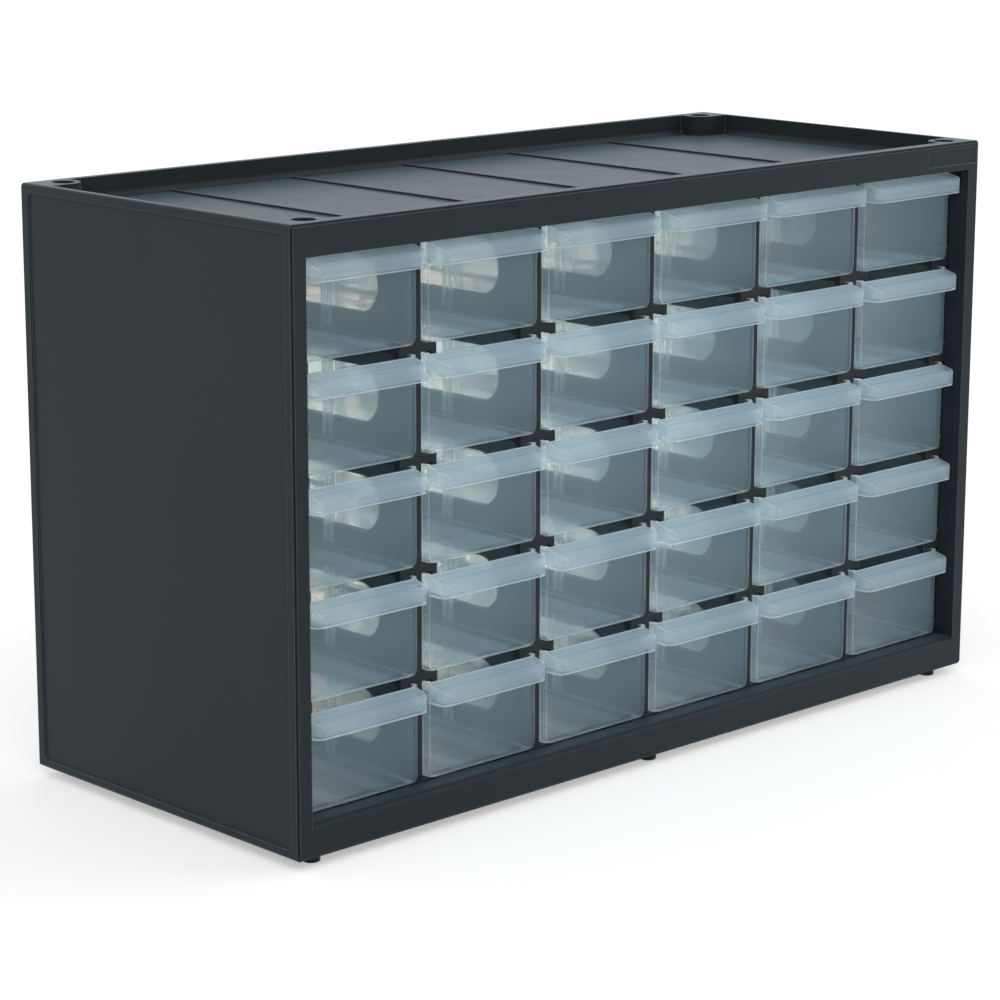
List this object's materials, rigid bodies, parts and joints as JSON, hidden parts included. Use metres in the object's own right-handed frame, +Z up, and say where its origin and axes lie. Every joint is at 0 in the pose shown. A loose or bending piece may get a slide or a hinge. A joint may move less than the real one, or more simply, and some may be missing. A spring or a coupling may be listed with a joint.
{
  "type": "parts bin cabinet",
  "caption": "Tabletop parts cabinet: moulded dark case with a grid of pull-out translucent drawers, a shallow tray on top and studs for stacking.",
  "frame": {"origin": "centre of the overall box at the level that the studs stand on", "axes": "+Z up, the drawers open towards -Y, +X to the right as seen from the front"},
  "size_m": [0.365, 0.151, 0.2245],
  "materials": {
    "case_plastic": "satin moulded anthracite plastic",
    "frame_plastic": "satin moulded anthracite plastic, a shade darker",
    "inner_plastic": "moulded anthracite plastic",
    "drawer_plastic": "translucent milky polypropylene with a cold tint"
  },
  "bodies": {
    "cabinet": {"outer_shell": "case_plastic", "front_frame": "frame_plastic", "back_panel": "inner_plastic", "divider_1": "inner_plastic", "divider_2": "inner_plastic", "divider_3": "inner_plastic", "divider_4": "inner_plastic", "divider_5": "inner_plastic"},
    "bin_r1c1": {"drawer_r1c1": "drawer_plastic"},
    "bin_r1c2": {"drawer_r1c2": "drawer_plastic"},
    "bin_r1c3": {"drawer_r1c3": "drawer_plastic"},
    "bin_r1c4": {"drawer_r1c4": "drawer_plastic"},
    "bin_r1c5": {"drawer_r1c5": "drawer_plastic"},
    "bin_r1c6": {"drawer_r1c6": "drawer_plastic"},
    "bin_r2c1": {"drawer_r2c1": "drawer_plastic"},
    "bin_r2c2": {"drawer_r2c2": "drawer_plastic"},
    "bin_r2c3": {"drawer_r2c3": "drawer_plastic"},
    "bin_r2c4": {"drawer_r2c4": "drawer_plastic"},
    "bin_r2c5": {"drawer_r2c5": "drawer_plastic"},
    "bin_r2c6": {"drawer_r2c6": "drawer_plastic"},
    "bin_r3c1": {"drawer_r3c1": "drawer_plastic"},
    "bin_r3c2": {"drawer_r3c2": "drawer_plastic"},
    "bin_r3c3": {"drawer_r3c3": "drawer_plastic"},
    "bin_r3c4": {"drawer_r3c4": "drawer_plastic"},
    "bin_r3c5": {"drawer_r3c5": "drawer_plastic"},
    "bin_r3c6": {"drawer_r3c6": "drawer_plastic"},
    "bin_r4c1": {"drawer_r4c1": "drawer_plastic"},
    "bin_r4c2": {"drawer_r4c2": "drawer_plastic"},
    "bin_r4c3": {"drawer_r4c3": "drawer_plastic"},
    "bin_r4c4": {"drawer_r4c4": "drawer_plastic"},
    "bin_r4c5": {"drawer_r4c5": "drawer_plastic"},
    "bin_r4c6": {"drawer_r4c6": "drawer_plastic"},
    "bin_r5c1": {"drawer_r5c1": "drawer_plastic"},
    "bin_r5c2": {"drawer_r5c2": "drawer_plastic"},
    "bin_r5c3": {"drawer_r5c3": "drawer_plastic"},
    "bin_r5c4": {"drawer_r5c4": "drawer_plastic"},
    "bin_r5c5": {"drawer_r5c5": "drawer_plastic"},
    "bin_r5c6": {"drawer_r5c6": "drawer_plastic"}
  },
  "joints": [
    {"name": "slide_r1c1", "type": "slide", "parent": "cabinet", "child": "bin_r1c1", "axis": [0, -1, 0], "range_m": [0, 0.133]},
    {"name": "slide_r1c2", "type": "slide", "parent": "cabinet", "child": "bin_r1c2", "axis": [0, -1, 0], "range_m": [0, 0.133]},
    {"name": "slide_r1c3", "type": "slide", "parent": "cabinet", "child": "bin_r1c3", "axis": [0, -1, 0], "range_m": [0, 0.133]},
    {"name": "slide_r1c4", "type": "slide", "parent": "cabinet", "child": "bin_r1c4", "axis": [0, -1, 0], "range_m": [0, 0.133]},
    {"name": "slide_r1c5", "type": "slide", "parent": "cabinet", "child": "bin_r1c5", "axis": [0, -1, 0], "range_m": [0, 0.133]},
    {"name": "slide_r1c6", "type": "slide", "parent": "cabinet", "child": "bin_r1c6", "axis": [0, -1, 0], "range_m": [0, 0.133]},
    {"name": "slide_r2c1", "type": "slide", "parent": "cabinet", "child": "bin_r2c1", "axis": [0, -1, 0], "range_m": [0, 0.133]},
    {"name": "slide_r2c2", "type": "slide", "parent": "cabinet", "child": "bin_r2c2", "axis": [0, -1, 0], "range_m": [0, 0.133]},
    {"name": "slide_r2c3", "type": "slide", "parent": "cabinet", "child": "bin_r2c3", "axis": [0, -1, 0], "range_m": [0, 0.133]},
    {"name": "slide_r2c4", "type": "slide", "parent": "cabinet", "child": "bin_r2c4", "axis": [0, -1, 0], "range_m": [0, 0.133]},
    {"name": "slide_r2c5", "type": "slide", "parent": "cabinet", "child": "bin_r2c5", "axis": [0, -1, 0], "range_m": [0, 0.133]},
    {"name": "slide_r2c6", "type": "slide", "parent": "cabinet", "child": "bin_r2c6", "axis": [0, -1, 0], "range_m": [0, 0.133]},
    {"name": "slide_r3c1", "type": "slide", "parent": "cabinet", "child": "bin_r3c1", "axis": [0, -1, 0], "range_m": [0, 0.133]},
    {"name": "slide_r3c2", "type": "slide", "parent": "cabinet", "child": "bin_r3c2", "axis": [0, -1, 0], "range_m": [0, 0.133]},
    {"name": "slide_r3c3", "type": "slide", "parent": "cabinet", "child": "bin_r3c3", "axis": [0, -1, 0], "range_m": [0, 0.133]},
    {"name": "slide_r3c4", "type": "slide", "parent": "cabinet", "child": "bin_r3c4", "axis": [0, -1, 0], "range_m": [0, 0.133]},
    {"name": "slide_r3c5", "type": "slide", "parent": "cabinet", "child": "bin_r3c5", "axis": [0, -1, 0], "range_m": [0, 0.133]},
    {"name": "slide_r3c6", "type": "slide", "parent": "cabinet", "child": "bin_r3c6", "axis": [0, -1, 0], "range_m": [0, 0.133]},
    {"name": "slide_r4c1", "type": "slide", "parent": "cabinet", "child": "bin_r4c1", "axis": [0, -1, 0], "range_m": [0, 0.133]},
    {"name": "slide_r4c2", "type": "slide", "parent": "cabinet", "child": "bin_r4c2", "axis": [0, -1, 0], "range_m": [0, 0.133]},
    {"name": "slide_r4c3", "type": "slide", "parent": "cabinet", "child": "bin_r4c3", "axis": [0, -1, 0], "range_m": [0, 0.133]},
    {"name": "slide_r4c4", "type": "slide", "parent": "cabinet", "child": "bin_r4c4", "axis": [0, -1, 0], "range_m": [0, 0.133]},
    {"name": "slide_r4c5", "type": "slide", "parent": "cabinet", "child": "bin_r4c5", "axis": [0, -1, 0], "range_m": [0, 0.133]},
    {"name": "slide_r4c6", "type": "slide", "parent": "cabinet", "child": "bin_r4c6", "axis": [0, -1, 0], "range_m": [0, 0.133]},
    {"name": "slide_r5c1", "type": "slide", "parent": "cabinet", "child": "bin_r5c1", "axis": [0, -1, 0], "range_m": [0, 0.133]},
    {"name": "slide_r5c2", "type": "slide", "parent": "cabinet", "child": "bin_r5c2", "axis": [0, -1, 0], "range_m": [0, 0.133]},
    {"name": "slide_r5c3", "type": "slide", "parent": "cabinet", "child": "bin_r5c3", "axis": [0, -1, 0], "range_m": [0, 0.133]},
    {"name": "slide_r5c4", "type": "slide", "parent": "cabinet", "child": "bin_r5c4", "axis": [0, -1, 0], "range_m": [0, 0.133]},
    {"name": "slide_r5c5", "type": "slide", "parent": "cabinet", "child": "bin_r5c5", "axis": [0, -1, 0], "range_m": [0, 0.133]},
    {"name": "slide_r5c6", "type": "slide", "parent": "cabinet", "child": "bin_r5c6", "axis": [0, -1, 0], "range_m": [0, 0.133]}
  ]
}
